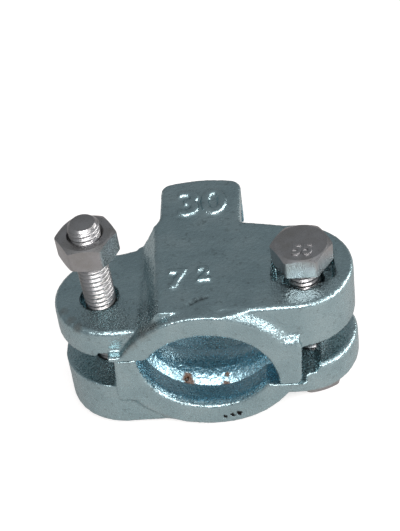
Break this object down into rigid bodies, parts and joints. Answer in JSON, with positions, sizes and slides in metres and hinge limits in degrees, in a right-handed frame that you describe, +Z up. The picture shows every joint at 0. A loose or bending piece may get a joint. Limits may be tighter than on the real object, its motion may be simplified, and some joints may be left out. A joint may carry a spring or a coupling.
{
  "type": "two-bolt cast hose clamp with rear claws",
  "caption": "Cast clamp of two equal halves with bolt lugs, a stepped hose bore, rear claws, hex bolts and nuts.",
  "frame": {"origin": "on the bore axis in the plane of the front rim, halfway between the two parting faces", "axes": "X along the bolt lugs (upper recess lug at +X), Y along the bore from the front rim to the claws, Z up along the bolts"},
  "size_m": [0.056, 0.0395, 0.0441],
  "materials": {
    "casting": "zinc-plated cast surface, satin with fine grain",
    "fastener": "zinc-plated steel, satin"
  },
  "bodies": {
    "upper_casting": {"upper_casting": "casting"},
    "lower_casting": {"lower_casting": "casting"},
    "left_bolt": {"left_bolt": "fastener"},
    "right_bolt": {"right_bolt": "fastener"},
    "left_nut": {"left_nut": "fastener"},
    "right_nut": {"right_nut": "fastener"}
  },
  "joints": [
    {"name": "upper_lift", "type": "slide", "parent": "lower_casting", "child": "upper_casting", "axis": [0, 0, 1], "range_m": [0, 0.0013]},
    {"name": "left_bolt_slide", "type": "slide", "parent": "lower_casting", "child": "left_bolt", "axis": [-0.0262, 0, 0.9997], "range_m": [-0.009, 0.0017]},
    {"name": "right_bolt_turn", "type": "hinge", "parent": "lower_casting", "child": "right_bolt", "pos_m": [0.0194, 0.0123, 0], "axis": [-0.0262, 0, 0.9997], "continuous": true},
    {"name": "left_nut_turn", "type": "hinge", "parent": "left_bolt", "child": "left_nut", "pos_m": [-0.0186, 0.0123, 0], "axis": [-0.0262, 0, 0.9997], "continuous": true},
    {"name": "right_nut_turn", "type": "hinge", "parent": "right_bolt", "child": "right_nut", "pos_m": [0.0194, 0.0123, 0], "axis": [-0.0262, 0, 0.9997], "continuous": true}
  ]
}
